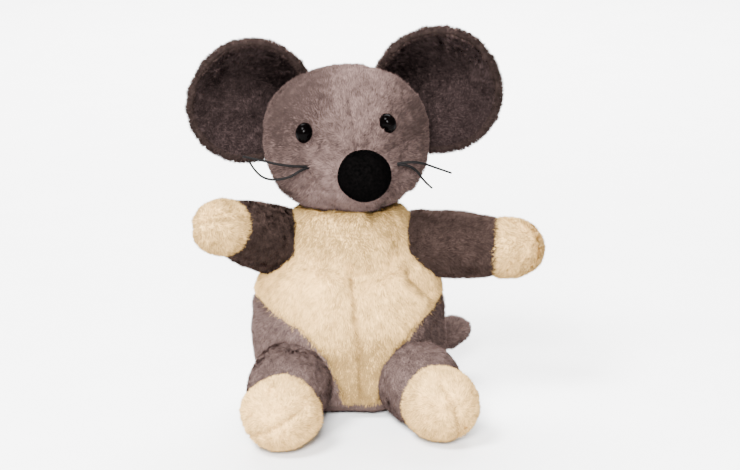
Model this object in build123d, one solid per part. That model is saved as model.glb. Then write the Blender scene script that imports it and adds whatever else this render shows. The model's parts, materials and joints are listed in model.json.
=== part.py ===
"""Sitting plush mouse made as a hand puppet.

Sewn plush skins over stuffing, a lined hand pocket that is entered from the back, a finger
pocket in the head, and stuffed ears, arms, legs and tail that each swing at their seam.

Frame: millimetres, origin on the table at the middle of the seat, face towards -Y, +Z up.
"Left" and "right" are as seen from in front, so left is -X.
"""

import math
import os

from build123d import *

# Cloth and clearances
PLUSH = 3.0  # plush cloth with its pile pressed down
LINING = 1.2  # woven cotton of the pockets
MOVING_GAP = 0.8  # between a limb and the torso that it swings past
BALL_GAP = 1.3  # between a limb's round root and its socket
ROOM_REACH = 60.0  # how far along a limb the torso is cleared for its swing
BIG = 400.0  # side of the blocks that cut the skins into panels

# Torso: height, half width, half depth and middle in Y of each level
TORSO_LEVELS = [
    (0, 42, 31, 3),
    (20, 55, 43, 0),
    (45, 58, 46, -1),
    (70, 56.5, 46, -3),
    (95, 48.5, 38, -4),
    (117.5, 33, 26, -6),
]
SIDE_SEAM_Y = 2
CHEST_CREASE_Z = 97
BASE_PANEL_Z = 6
BELLY_SEAM_TOP_X = -1.5
BELLY_SEAM_SLOPE = 0.117  # sideways run of the belly seam for each millimetre that it drops
HIP_SEAM_LEFT = ((-57, 69), (-6, 16))  # (x, z) of the seam between cream belly and grey hip
HIP_SEAM_RIGHT = ((56, 67), (20, 16))

# Hand pocket
POCKET_HALF_WIDTH = 34
POCKET_HALF_DEPTH = 17
POCKET_Y = 8
POCKET_FLOOR_Z = 24
POCKET_SHOULDER_Z = 86
NECK_Y = -6
NECK_BORE_R = 13
NECK_POCKET_TOP_Z = 104
MOUTH_HALF_WIDTH = 32
MOUTH_HALF_HEIGHT = 22
MOUTH_Z = 50
HEM_WIDTH = 4
HEM_THICKNESS = 1.6
# Where the filling's packed blocks part: height, and middle in Y of the quarters above it
FILLING_LEVELS = [
    (POCKET_FLOOR_Z - LINING, POCKET_Y),
    (MOUTH_Z + MOUTH_HALF_HEIGHT + LINING, POCKET_Y - 6),
    (97, NECK_Y),
    (BIG, 0),
]
FILLING_CRUMB = 60.0  # smallest volume of a block

# Head
HEAD_CENTRE = (-1.2, -8, 163.5)
HEAD_RADII = (49, 46, 44)
MUZZLE_CENTRE = (5, -31, 152.5)
MUZZLE_RADII = (31, 30, 25)
HEAD_YAW = 8
HEAD_ROLL = -5
FINGER_POCKET_R = 12
FINGER_POCKET_TOP_Z = 160
FINGER_POCKET_FOOT_Z = 100  # below the head, so that the pocket is open underneath
CHIN_SEAM = (4, -50, 143)
CHIN_SLOPE = 0.3
EYE_LEFT = (-25.9, -45.2, 176)
EYE_RIGHT = (23.7, -43, 181.1)
EYE_R = 6
EYE_DOME = 4.5
SHANK_R = 1.5
SHANK_LENGTH = 11
WASHER_BEHIND = 4  # gap between an eye's skin and its washer
WASHER_R = 6
WASHER_THICKNESS = 1.5
NOSE_CENTRE = (9.4, -62, 154.5)
NOSE_R = 14.8
NOSE_SHANK_LENGTH = 16
WHISKER_R = 0.5
WHISKERS_LEFT = [
    ((-22.5, -46.5, 157), (-41.2, -50, 159.3), (-59.5, -46, 161.7)),
    ((-22.5, -46.5, 154.4), (-39.6, -51, 151.2), (-55.0, -51, 158.0)),
]
WHISKERS_RIGHT = [
    ((28.4, -46.5, 158.9), (43.9, -45, 157.4), (58.9, -40, 150.4)),
    ((28.4, -46.5, 157.5), (39.3, -46, 153.5), (47.5, -42, 142.6)),
]

# Ears: shallow dishes whose hollow faces forwards
EAR_DISH_R = 80
EAR_LAYER = 3.2
EAR_BACK_Y = 9
EAR_LEFT = (-57, 36.0, 187.0)  # x of the middle, radius, z of the middle
EAR_RIGHT = (51.5, 37.0, 192.0)
EAR_CLEARANCE = 2.0

# Arms: shoulder, direction, and the profile along the arm
ARM_LEFT = ((-41, -8, 102), (-35.8, -44, 22))
ARM_RIGHT = ((41, -6, 101), (78, -4, -4.5))
ARM_ROOT_R = 20.5
ARM_SEAM_R = 18.6
ARM_SEAM_AT = 46
ARM_LENGTH = 77
ARM_SWING = (-18, 2, 22)

# Legs
LEG_LEFT = ((-33, -37, 25), (-5.4, -50, -1.4))
LEG_RIGHT = ((36.5, -27.5, 25), (16.3, -42, -1.2))
LEG_ROOT_R = 24.5
FOOT_R = 23.5
FOOT_AT = 48
FOOT_SEAM_AT = 36
LEG_SWING = (-2, 13, 28)

# Tail
TAIL_ROOT = (10, 43, 12)
TAIL_DIRECTION = (67, 9, 15)
TAIL_R = 9.5
TAIL_LENGTH = 68
TAIL_SWING = (-8, 8, 24, 40)


def ellipsoid(centre, radii):
    """A closed ellipsoid."""
    return Pos(*centre) * scale(Sphere(1), by=radii)


def grown(radii, by):
    """The radii of an ellipsoid that is larger by the same amount every way."""
    return tuple(radius + by for radius in radii)


def beyond(origin, normal):
    """A large block on the side of a plane that its normal points to."""
    return Plane(origin=origin, z_dir=normal) * Pos(0, 0, BIG / 2) * Box(BIG, BIG, BIG)


def torso_body(inset):
    """The torso's closed shape, or the same shape this much further in."""
    lowest, highest = TORSO_LEVELS[0][0], TORSO_LEVELS[-1][0]
    faces = []
    for z, half_width, half_depth, middle in TORSO_LEVELS:
        level = min(max(z, lowest + inset), highest - inset)
        outline = Ellipse(half_width - inset, half_depth - inset)
        faces.append(Pos(0, middle, level) * outline)
    return loft(faces)


def upright_pocket(extra):
    """The hand pocket's upright part, which narrows into the neck."""
    levels = [
        (POCKET_FLOOR_Z, 27, 13, POCKET_Y),
        (MOUTH_Z, POCKET_HALF_WIDTH, POCKET_HALF_DEPTH, POCKET_Y),
        (POCKET_SHOULDER_Z, 27, 15, POCKET_Y - 6),
        (NECK_POCKET_TOP_Z, NECK_BORE_R, NECK_BORE_R, NECK_Y),
    ]
    faces = []
    for z, half_width, half_depth, middle in levels:
        level = z - extra if z == POCKET_FLOOR_Z else z
        faces.append(Pos(0, middle, level) * Ellipse(half_width + extra, half_depth + extra))
    return loft(faces)


def mouth_tube(extra):
    """The level tube from the hand pocket out through the back."""
    outline = Ellipse(MOUTH_HALF_WIDTH + extra, MOUTH_HALF_HEIGHT + extra)
    start = Plane(origin=(0, POCKET_Y, MOUTH_Z), x_dir=(1, 0, 0), z_dir=(0, 1, 0))
    return extrude(start * outline, BIG / 4)


def upright_tube(radius, bottom, top):
    """A round bar on the neck's line."""
    height = top - bottom
    return Pos(0, NECK_Y, bottom + height / 2) * Cylinder(radius, height)


def along(start, direction):
    """Where a limb lies: X runs along it, and a turn about its level Y lifts its end."""
    ahead = Vector(*direction).normalized()
    level = ahead.cross(Vector(0, 0, 1)).normalized()
    return Plane(origin=start, x_dir=ahead, z_dir=ahead.cross(level))


def turned(outline):
    """The solid that a closed outline makes when it turns about its own X axis."""
    return revolve(make_face(outline + Line(outline @ 1, outline @ 0)), Axis.X)


def arm_shape(inset):
    """An arm with a round root at the shoulder and a blunt paw."""
    root, seam, tip = ARM_ROOT_R - inset, ARM_SEAM_R - inset, ARM_LENGTH - inset
    bend = root * math.sqrt(0.5)
    outline = ThreePointArc((-root, 0), (-bend, bend), (0, root))
    outline += Line((0, root), (ARM_SEAM_AT, seam))
    outline += Spline(
        (ARM_SEAM_AT, seam), (tip - 14, seam), (tip, 0), tangents=((1, 0), (0, -1))
    )
    return outline


def leg_shape(inset):
    """A leg with a round root at the hip and a ball for a foot."""
    root, ball = LEG_ROOT_R - inset, FOOT_R - inset
    seam = math.sqrt(ball**2 - (FOOT_AT - FOOT_SEAM_AT) ** 2)
    bend = root * math.sqrt(0.5)
    outline = ThreePointArc((-root, 0), (-bend, bend), (0, root))
    outline += Line((0, root), (FOOT_SEAM_AT, seam))
    outline += ThreePointArc((FOOT_SEAM_AT, seam), (FOOT_AT, ball), (FOOT_AT + ball, 0))
    return outline


def tail_shape(inset):
    """A straight stub with a round root and a blunt end."""
    radius = TAIL_R - inset
    reach = TAIL_LENGTH - TAIL_R
    bend = radius * math.sqrt(0.5)
    outline = ThreePointArc((-radius, 0), (-bend, bend), (0, radius))
    outline += Line((0, radius), (reach, radius))
    outline += ThreePointArc((reach, radius), (reach + bend, bend), (reach + radius, 0))
    return outline


def swing_room(radius, place, hinge, angles):
    """The ball and bars of space that a limb's root needs over its whole swing."""
    room = [Pos(*place.origin) * Sphere(radius + BALL_GAP)]
    bar = place * Rot(0, 90, 0) * Pos(0, 0, ROOM_REACH / 2) * Cylinder(radius + MOVING_GAP, ROOM_REACH)
    room += [bar.rotate(hinge, angle) for angle in angles]
    return room


def boxes_meet(one, other):
    """True if the two shapes' boxes overlap."""
    a, b = one.bounding_box(), other.bounding_box()
    lows = zip(tuple(a.min), tuple(b.max), strict=True)
    highs = zip(tuple(b.min), tuple(a.max), strict=True)
    return all(low < high for low, high in (*lows, *highs))


def cleared(shape, room):
    """The shape with the limbs' room cut away."""
    for piece in room:
        if boxes_meet(shape, piece):
            shape -= piece
    return shape


def packed_blocks(filling):
    """The torso's filling as it is packed: a pad under the pocket, then quarters round it."""
    blocks = list((filling - beyond((0, 0, FILLING_LEVELS[0][0]), (0, 0, 1))).solids())
    for (low, middle), (high, _) in zip(FILLING_LEVELS[:-1], FILLING_LEVELS[1:], strict=True):
        slab = filling & Pos(0, 0, (low + high) / 2) * Box(BIG, BIG, high - low)
        for across in (-1, 1):
            half = slab & Pos(across * BIG / 2, 0, 0) * Box(BIG, BIG, 3 * BIG)
            for ahead in (-1, 1):
                quarter = half & Pos(0, middle + ahead * BIG / 2, 0) * Box(BIG * 2, BIG, 3 * BIG)
                blocks += quarter.solids()
    return [block for block in blocks if block.volume > FILLING_CRUMB]


def write(name, shape, pieces=1):
    """Writes one node's file, without the crumbs that a cut may leave beside its pieces."""
    largest = sorted(shape.solids(), key=lambda solid: -solid.volume)[:pieces]
    export_step(Compound(children=largest), os.path.join("parts", name + ".step"))


def limb_nodes(shape, place, seam_at, skin_name, end_name, filling_name):
    """A limb's long skin, its cream end and its stuffing."""
    skin = place * (turned(shape(0)) - turned(shape(PLUSH)))
    past_seam = place * Pos(seam_at + BIG / 2, 0, 0) * Box(BIG, BIG, BIG)
    write(skin_name, skin - past_seam)
    write(end_name, skin & past_seam)
    write(filling_name, place * turned(shape(PLUSH)))


def torso(room):
    """The eight panels, the lining, the hem and the stuffing of the torso."""
    outer, inner = torso_body(0), torso_body(PLUSH)
    neck_hole = upright_tube(NECK_BORE_R + LINING + MOVING_GAP, NECK_POCKET_TOP_Z, BIG / 2)
    skin = outer - inner - neck_hole - mouth_tube(LINING)

    above_crease = beyond((0, 0, CHEST_CREASE_Z), (0, 0, 1))
    behind_seam = beyond((0, SIDE_SEAM_Y, 0), (0, 1, 0))
    under = beyond((0, 0, BASE_PANEL_Z), (0, 0, -1))
    belly_right = beyond((BELLY_SEAM_TOP_X, 0, CHEST_CREASE_Z), (1, 0, BELLY_SEAM_SLOPE))
    hip_blocks = {}
    for side, seam in (("left", HIP_SEAM_LEFT), ("right", HIP_SEAM_RIGHT)):
        (top_x, top_z), (low_x, low_z) = seam
        run, drop = low_x - top_x, top_z - low_z
        outward = -1 if side == "left" else 1
        hip_blocks[side] = beyond((top_x, 0, top_z), (outward * drop, 0, -abs(run)))

    front = skin - behind_seam - under
    chest_and_belly = front - hip_blocks["left"] - hip_blocks["right"]
    belly = chest_and_belly - above_crease
    back = (skin & behind_seam) - under
    right_half = beyond((0, 0, 0), (1, 0, 0))
    panels = {
        "chest_panel": chest_and_belly & above_crease,
        "belly_left_panel": belly - belly_right,
        "belly_right_panel": belly & belly_right,
        "hip_left_panel": front & hip_blocks["left"],
        "hip_right_panel": front & hip_blocks["right"],
        "back_left_panel": back - right_half,
        "back_right_panel": back & right_half,
        "base_panel": skin & under,
    }
    for name, panel in panels.items():
        write(name, cleared(panel, room))

    pocket = upright_pocket(0) + mouth_tube(0)
    pocket_outside = upright_pocket(LINING) + mouth_tube(LINING)
    write("hand_lining", cleared((pocket_outside & outer) - pocket, room))
    blocks = packed_blocks(cleared(inner - pocket_outside - neck_hole, room))
    write("torso_stuffing", Compound(children=blocks), len(blocks))
    hem_band = torso_body(-HEM_THICKNESS) - outer
    hem_ring = mouth_tube(HEM_WIDTH) - mouth_tube(0)
    write("opening_hem", cleared(hem_band & hem_ring & behind_seam, room))
    neck_tube_top = TORSO_LEVELS[-1][0] - 0.5
    ring = upright_tube(NECK_BORE_R + LINING, NECK_POCKET_TOP_Z + 1, neck_tube_top)
    ring -= upright_tube(NECK_BORE_R, 0, BIG / 2)
    write("neck_tube", ring)


def button(centre, outward, radius, dome, shank_length):
    """A domed eye on a shank, with its locking washer."""
    seat = Plane(origin=centre, z_dir=outward)
    head = seat * scale(Sphere(1), by=(radius, radius, dome))
    head -= seat * Pos(0, 0, -dome) * Box(4 * radius, 4 * radius, 2 * dome)
    shank = seat * Pos(0, 0, -shank_length / 2) * Cylinder(SHANK_R, shank_length)
    washer_at = -(PLUSH + WASHER_BEHIND + WASHER_THICKNESS / 2)
    washer = seat * Pos(0, 0, washer_at) * (
        Cylinder(WASHER_R, WASHER_THICKNESS) - Cylinder(SHANK_R, WASHER_THICKNESS)
    )
    return head + shank, washer


def whisker(start, middle, end):
    """One thread of a whisker, bent through three points."""
    path = ThreePointArc(start, middle, end)
    return sweep(Plane(origin=path @ 0, z_dir=path % 0) * Circle(WHISKER_R), path)


def head():
    """The head's panels, stuffing, finger pocket, eyes, nose and whiskers."""
    outer = ellipsoid(HEAD_CENTRE, HEAD_RADII) + ellipsoid(MUZZLE_CENTRE, MUZZLE_RADII)
    inner = ellipsoid(HEAD_CENTRE, grown(HEAD_RADII, -PLUSH))
    inner += ellipsoid(MUZZLE_CENTRE, grown(MUZZLE_RADII, -PLUSH))

    eyes, washers = [], []
    for centre in (EYE_LEFT, EYE_RIGHT):
        outward = tuple(Vector(*centre) - Vector(*HEAD_CENTRE))
        eye, washer = button(centre, outward, EYE_R, EYE_DOME, SHANK_LENGTH)
        eyes.append(eye)
        washers.append(washer)
    inward = Plane(origin=NOSE_CENTRE, z_dir=(-0.05, 1, 0.05))
    nose_reach = NOSE_R + NOSE_SHANK_LENGTH
    nose = Pos(*NOSE_CENTRE) * Sphere(NOSE_R)
    nose += inward * Pos(0, 0, nose_reach / 2) * Cylinder(SHANK_R, nose_reach)
    nose_washer = inward * Pos(0, 0, NOSE_R + NOSE_SHANK_LENGTH / 2) * (
        Cylinder(WASHER_R, WASHER_THICKNESS) - Cylinder(SHANK_R, WASHER_THICKNESS)
    )
    write("left_eye", eyes[0])
    write("right_eye", eyes[1])
    write("eye_washers", washers[0] + washers[1], 2)
    write("nose", nose)
    write("nose_washer", nose_washer)
    fittings = eyes[0] + eyes[1] + nose
    whiskers = {}
    for name, threads in (("left", WHISKERS_LEFT), ("right", WHISKERS_RIGHT)):
        whiskers[name] = [whisker(*thread) for thread in threads]
        bare = [thread - outer for thread in whiskers[name]]
        write(name + "_whiskers", bare[0] + bare[1], 2)

    room_for_finger = upright_tube(FINGER_POCKET_R, FINGER_POCKET_FOOT_Z, FINGER_POCKET_TOP_Z)
    room_for_finger += Pos(0, NECK_Y, FINGER_POCKET_TOP_Z) * Sphere(FINGER_POCKET_R)
    pocket_outside = upright_tube(FINGER_POCKET_R + LINING, FINGER_POCKET_FOOT_Z, FINGER_POCKET_TOP_Z)
    pocket_outside += Pos(0, NECK_Y, FINGER_POCKET_TOP_Z) * Sphere(FINGER_POCKET_R + LINING)
    write("head_finger_pocket", (pocket_outside & outer) - room_for_finger)
    write("head_stuffing", inner - pocket_outside - fittings - washers[0] - washers[1] - nose_washer)

    skin = outer - inner - pocket_outside - fittings
    yaw, roll = math.radians(HEAD_YAW), math.radians(HEAD_ROLL)
    rightwards = (math.cos(yaw), math.sin(yaw), -math.sin(roll))
    backwards = (-math.sin(yaw), math.cos(yaw), 0)
    behind = beyond(HEAD_CENTRE, backwards)
    chin = beyond(CHIN_SEAM, (0, -CHIN_SLOPE, -1))
    right_half = beyond(HEAD_CENTRE, rightwards)
    face = skin - behind - chin
    write("face_left_panel", face - right_half)
    write("face_right_panel", face & right_half)
    write("chin_panel", (skin & chin) - behind)
    write("head_back_panel", skin & behind)


def ear(name, place):
    """The front and back layers of one ear."""
    middle_x, radius, middle_z = place
    dish_centre = Pos(middle_x, EAR_BACK_Y - EAR_DISH_R, middle_z)
    rim = Pos(middle_x, EAR_BACK_Y, middle_z) * Rot(90, 0, 0) * Cylinder(radius, EAR_DISH_R)
    head_room = ellipsoid(HEAD_CENTRE, grown(HEAD_RADII, EAR_CLEARANCE))
    for layer, outside in (("back", EAR_DISH_R), ("front", EAR_DISH_R - EAR_LAYER)):
        sheet = dish_centre * (Sphere(outside) - Sphere(outside - EAR_LAYER))
        write(f"{name}_ear_{layer}", (sheet & rim) - head_room)


def main():
    """Builds every node and writes it."""
    os.makedirs("parts", exist_ok=True)
    room = []
    limbs = (
        ("left_arm", arm_shape, ARM_LEFT, ARM_SEAM_AT, "left_paw"),
        ("right_arm", arm_shape, ARM_RIGHT, ARM_SEAM_AT, "right_paw"),
        ("left_leg", leg_shape, LEG_LEFT, FOOT_SEAM_AT, "left_foot"),
        ("right_leg", leg_shape, LEG_RIGHT, FOOT_SEAM_AT, "right_foot"),
    )
    for name, shape, (start, direction), seam_at, end_name in limbs:
        place = along(start, direction)
        hinge = Axis(start, tuple(place.y_dir))
        is_arm = shape is arm_shape
        radius, swing = (ARM_ROOT_R, ARM_SWING) if is_arm else (LEG_ROOT_R, LEG_SWING)
        room += swing_room(radius, place, hinge, swing)
        limb_nodes(shape, place, seam_at, name + "_sleeve", end_name, name + "_stuffing")
    place = along(TAIL_ROOT, TAIL_DIRECTION)
    room += swing_room(TAIL_R, place, Axis(TAIL_ROOT, (0, 0, 1)), TAIL_SWING)
    write("tail_sleeve", place * (turned(tail_shape(0)) - turned(tail_shape(PLUSH))))
    write("tail_stuffing", place * turned(tail_shape(PLUSH)))
    torso(room)
    head()
    ear("left", EAR_LEFT)
    ear("right", EAR_RIGHT)


main()
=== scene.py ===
"""Visual model of the sitting plush mouse hand puppet.

Each soft body is a closed form, blown up a little by cloth simulation with its seams held, then
cut into its sewn panels. Every panel is a cloth piece with a pile piece of short tufts on it.
Lengths are written in millimetres and turned into metres when a mesh is made.
"""

import json
import math

import bmesh
import bpy
import numpy as np
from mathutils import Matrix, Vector


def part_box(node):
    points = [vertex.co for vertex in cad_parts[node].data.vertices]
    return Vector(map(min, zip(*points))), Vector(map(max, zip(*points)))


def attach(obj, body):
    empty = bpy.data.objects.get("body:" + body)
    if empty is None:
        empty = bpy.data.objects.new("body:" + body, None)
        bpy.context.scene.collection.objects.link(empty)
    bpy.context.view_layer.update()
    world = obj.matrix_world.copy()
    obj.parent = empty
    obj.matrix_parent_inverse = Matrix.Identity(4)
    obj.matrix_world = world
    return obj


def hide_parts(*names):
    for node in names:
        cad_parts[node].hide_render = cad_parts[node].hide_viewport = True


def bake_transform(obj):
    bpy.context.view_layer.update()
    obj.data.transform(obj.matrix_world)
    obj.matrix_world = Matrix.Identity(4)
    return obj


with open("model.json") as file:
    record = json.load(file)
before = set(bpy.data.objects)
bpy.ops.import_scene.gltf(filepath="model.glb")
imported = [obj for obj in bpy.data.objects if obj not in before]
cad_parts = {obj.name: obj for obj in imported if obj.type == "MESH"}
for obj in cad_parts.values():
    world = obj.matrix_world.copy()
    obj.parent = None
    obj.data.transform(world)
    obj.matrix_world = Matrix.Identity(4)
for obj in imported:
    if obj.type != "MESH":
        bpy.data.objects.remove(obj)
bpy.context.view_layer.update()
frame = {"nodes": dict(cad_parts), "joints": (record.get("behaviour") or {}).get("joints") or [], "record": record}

MM = 0.001
PILE_ROOM = 1.8  # how far the cloth lies inside the outline that the pile fills
FLOOR_GAP = 0.3  # the lowest that a tuft reaches
LINING_THICK = 1.0
FIBRE_SIZE = 0.5
FLAT_WAYS = ((1, 0, 0), (0, 1, 0))  # the radius directions of a loft that rises
BACK_WAYS = ((-1, 0, 0), (0, 0, 1))  # and of one that runs backwards
HINGES = {joint["name"]: joint for joint in frame["joints"]}


# Measures taken from the frame


def low_high(*nodes):
    """The box around these CAD nodes, in millimetres."""
    corners = [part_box(node) for node in nodes]
    low = np.min([np.array(corner[0]) for corner in corners], axis=0) / MM
    high = np.max([np.array(corner[1]) for corner in corners], axis=0) / MM
    return low, high


def middle(*nodes):
    low, high = low_high(*nodes)
    return (low + high) / 2


def hinge_point(name):
    return np.array(HINGES[name]["pos_m"]) / MM


def unit(vector):
    vector = np.asarray(vector, float)
    return vector / np.linalg.norm(vector, axis=-1, keepdims=True)


# Smooth noise


def lattice(x, y, z, seed):
    """A repeatable value from 0 to 1 for each whole-number cell."""
    mixed = (x * 374761393 + y * 668265263 + z * 1440670441 + seed * 974634777) & 0xFFFFFFFF
    mixed = ((mixed ^ (mixed >> 13)) * 1274126177) & 0xFFFFFFFF
    return ((mixed ^ (mixed >> 16)) & 0xFFFF) / 65535.0


def noise(points, size, seed):
    """Smooth noise from -1 to 1 whose lumps are about this many millimetres across."""
    scaled = points / size
    cell = np.floor(scaled).astype(np.int64)
    part = scaled - cell
    ease = part * part * (3 - 2 * part)
    total = np.zeros(len(points))
    for dx in (0, 1):
        for dy in (0, 1):
            for dz in (0, 1):
                share = np.where(dx, ease[:, 0], 1 - ease[:, 0])
                share = share * np.where(dy, ease[:, 1], 1 - ease[:, 1])
                share = share * np.where(dz, ease[:, 2], 1 - ease[:, 2])
                value = lattice(cell[:, 0] + dx, cell[:, 1] + dy, cell[:, 2] + dz, seed)
                total += share * value
    return 2 * total - 1


def noise_vectors(points, size, seed):
    return np.stack([noise(points, size, seed + 11 * axis) for axis in range(3)], axis=1)


def step(value, low, high):
    """0 below low, 1 above high, smooth between."""
    t = np.clip((value - low) / (high - low), 0, 1)
    return t * t * (3 - 2 * t)


def ridge(distance, width):
    """1 on a line and 0 away from it."""
    return np.exp(-((distance / width) ** 2))


# Materials


def node(tree, kind, **values):
    made = tree.nodes.new(kind)
    for name, value in values.items():
        if name in made.inputs:
            made.inputs[name].default_value = value
        else:
            setattr(made, name, value)
    return made


def shader_of(name, **values):
    """A new material and its Principled shader, with these values on the shader's own sockets."""
    material = bpy.data.materials.new(name)
    material.use_nodes = True
    tree = material.node_tree
    shader = tree.nodes["Principled BSDF"]
    for socket, value in values.items():
        shader.inputs[socket].default_value = value
    return material, tree, shader


def rgba(colour):
    return (*colour, 1.0)


def shade(colour, factor):
    return tuple(min(1.0, channel * factor) for channel in colour)


def grain(tree, size, **values):
    """Noise over the object, in lumps of this many millimetres."""
    place = node(tree, "ShaderNodeTexCoord")
    lumps = node(tree, "ShaderNodeTexNoise", Scale=1.0 / (size * MM), **values)
    tree.links.new(place.outputs["Object"], lumps.inputs["Vector"])
    return lumps.outputs["Fac"]


def mottle(tree, low, high, size):
    """A colour that wanders between two, in patches of this many millimetres."""
    ramp = node(tree, "ShaderNodeValToRGB")
    ramp.color_ramp.elements[0].position = 0.35
    ramp.color_ramp.elements[0].color = rgba(low)
    ramp.color_ramp.elements[1].position = 0.68
    ramp.color_ramp.elements[1].color = rgba(high)
    tree.links.new(grain(tree, size, Detail=4.0), ramp.inputs["Fac"])
    return ramp.outputs["Color"]


def spread(tree, source, limits, socket):
    """Drives a shader socket from a 0 to 1 value, between these limits."""
    ranged = node(tree, "ShaderNodeMapRange", **{"To Min": limits[0], "To Max": limits[1]})
    tree.links.new(source, ranged.inputs["Value"])
    tree.links.new(ranged.outputs["Result"], socket)


def soft_light(tree, shader, colour, height, share):
    """Colours the shader, lighter where the height is high."""
    tone = node(tree, "ShaderNodeMix", data_type="RGBA", blend_type="SOFT_LIGHT")
    tone.inputs[0].default_value = share
    tree.links.new(colour, tone.inputs[6])
    tree.links.new(height, tone.inputs[7])
    tree.links.new(tone.outputs[2], shader.inputs["Base Color"])


def textured(tree, shader, height, rough, strength, distance):
    """Roughness and fine relief that follow one height; the distance is in millimetres."""
    spread(tree, height, rough, shader.inputs["Roughness"])
    relief = node(tree, "ShaderNodeBump", Strength=strength, Distance=distance * MM)
    tree.links.new(height, relief.inputs["Height"])
    tree.links.new(relief.outputs["Normal"], shader.inputs["Normal"])


def cloth_material(name, colour):
    """The knitted backing and pile roots: mottled colour with fine fibre relief."""
    material, tree, shader = shader_of(name, **{"Specular IOR Level": 0.0})
    patchy = mottle(tree, shade(colour, 0.85), shade(colour, 1.1), 9.0)
    strands = grain(tree, FIBRE_SIZE, Detail=5.0, Distortion=1.2)
    soft_light(tree, shader, patchy, strands, 0.5)
    textured(tree, shader, strands, (0.82, 1.0), 0.6, 0.6)
    return material


def tuft_materials(name, colour, tones, sheen=(0.0, 0.1)):
    """Fibre tones from dark to light, whose sheen wanders with the lie of the pile."""
    made = []
    for index, tone in enumerate(tones):
        material, tree, shader = shader_of(
            f"{name}_{index}",
            **{
                "Base Color": rgba(shade(colour, tone)),
                "Roughness": 0.9,
                "Specular IOR Level": 0.0,
                "Sheen Roughness": 0.5,
                "Sheen Tint": rgba(shade(colour, 1 / max(colour))),
            },
        )
        spread(tree, grain(tree, 4.0, Detail=3.0), sheen, shader.inputs["Sheen Weight"])
        made.append(material)
    return made


def woven_material(name, colour, thread=0.7):
    """Plain woven cotton: two crossed sets of fine threads with uneven colour."""
    material, tree, shader = shader_of(name, **{"Specular IOR Level": 0.0})
    patchy = mottle(tree, shade(colour, 0.85), shade(colour, 1.12), 12.0)
    place = node(tree, "ShaderNodeTexCoord")
    heights = []
    for direction in ("X", "Z"):
        wave = node(tree, "ShaderNodeTexWave", bands_direction=direction, Distortion=0.6)
        wave.inputs["Scale"].default_value = 1.0 / (thread * MM) / 6.3
        tree.links.new(place.outputs["Object"], wave.inputs["Vector"])
        heights.append(wave.outputs["Fac"])
    weave = node(tree, "ShaderNodeMath", operation="MAXIMUM")
    tree.links.new(heights[0], weave.inputs[0])
    tree.links.new(heights[1], weave.inputs[1])
    soft_light(tree, shader, patchy, weave.outputs[0], 0.6)
    textured(tree, shader, weave.outputs[0], (0.95, 0.7), 0.5, 0.3)
    return material


def speckled_material(name, low, high, size, rough, bump, **sockets):
    """A mottled surface with fine grain: plastic, thread, flock or loose fibre."""
    material, tree, shader = shader_of(name, **sockets)
    tree.links.new(mottle(tree, low, high, size), shader.inputs["Base Color"])
    textured(tree, shader, grain(tree, size * 0.3, Detail=4.0), rough, 0.5, bump)
    return material


# Mesh making


def new_object(name, verts, faces, materials=(), smooth=True):
    """A mesh object from millimetre points and faces."""
    mesh = bpy.data.meshes.new(name)
    mesh.from_pydata((np.asarray(verts, float) * MM).tolist(), [], [list(f) for f in faces])
    for material in materials:
        mesh.materials.append(material)
    mesh.polygons.foreach_set("use_smooth", [smooth] * len(mesh.polygons))
    mesh.update()
    made = bpy.data.objects.new(name, mesh)
    bpy.context.scene.collection.objects.link(made)
    return made


def triples(items, field):
    """One row of three numbers for each item."""
    flat = np.empty(len(items) * 3)
    items.foreach_get(field, flat)
    return flat.reshape(-1, 3)


def points_of(mesh):
    return triples(mesh.vertices, "co") / MM


def normals_of(mesh):
    return triples(mesh.vertices, "normal")


def face_middles(mesh):
    return triples(mesh.polygons, "center") / MM


def set_points(mesh, points):
    mesh.vertices.foreach_set("co", (points * MM).ravel())
    mesh.update()


def settled(made):
    """Applies the object's modifiers to its mesh."""
    graph = bpy.context.evaluated_depsgraph_get()
    mesh = bpy.data.meshes.new_from_object(made.evaluated_get(graph))
    made.modifiers.clear()
    made.data = mesh
    return made


def ring_loft(levels, across, sides=48):
    """Points and faces of a closed loft.

    levels lists (middle, first radius, second radius) and across gives the two radius directions.
    """
    angles = np.linspace(0, 2 * np.pi, sides, endpoint=False)
    first, second = np.asarray(across[0], float), np.asarray(across[1], float)
    verts, faces = [], []
    for centre, a, b in levels:
        centre = np.asarray(centre, float)
        for angle in angles:
            verts.append(centre + first * a * math.cos(angle) + second * b * math.sin(angle))
    for level in range(len(levels) - 1):
        for side in range(sides):
            after = (side + 1) % sides
            low, high = level * sides, (level + 1) * sides
            faces.append((low + side, low + after, high + after, high + side))
    faces.append(tuple(reversed(range(sides))))
    last = (len(levels) - 1) * sides
    faces.append(tuple(range(last, last + sides)))
    return np.array(verts), faces


def ball(centre, radii, squareness=2.0):
    """Points and faces of an ellipsoid, boxier as squareness rises above 2."""
    form = bmesh.new()
    bmesh.ops.create_icosphere(form, subdivisions=4, radius=1.0)
    ways = unit(np.array([v.co[:] for v in form.verts]))
    faces = [tuple(v.index for v in face.verts) for face in form.faces]
    form.free()
    reach = np.sum(np.abs(ways) ** squareness, axis=1) ** (-1.0 / squareness)
    return ways * reach[:, None] * np.asarray(radii, float) + np.asarray(centre, float), faces


def limb_rings(start, ahead, profile, sides=40):
    """A closed form of revolution whose profile lists (distance ahead, radius)."""
    ahead = unit(ahead)
    side = unit(np.cross(ahead, (0, 0, 1.0)))
    up = np.cross(side, ahead)
    levels = [(start + ahead * reach, radius, radius) for reach, radius in profile]
    return ring_loft(levels, (side, up), sides)


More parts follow.
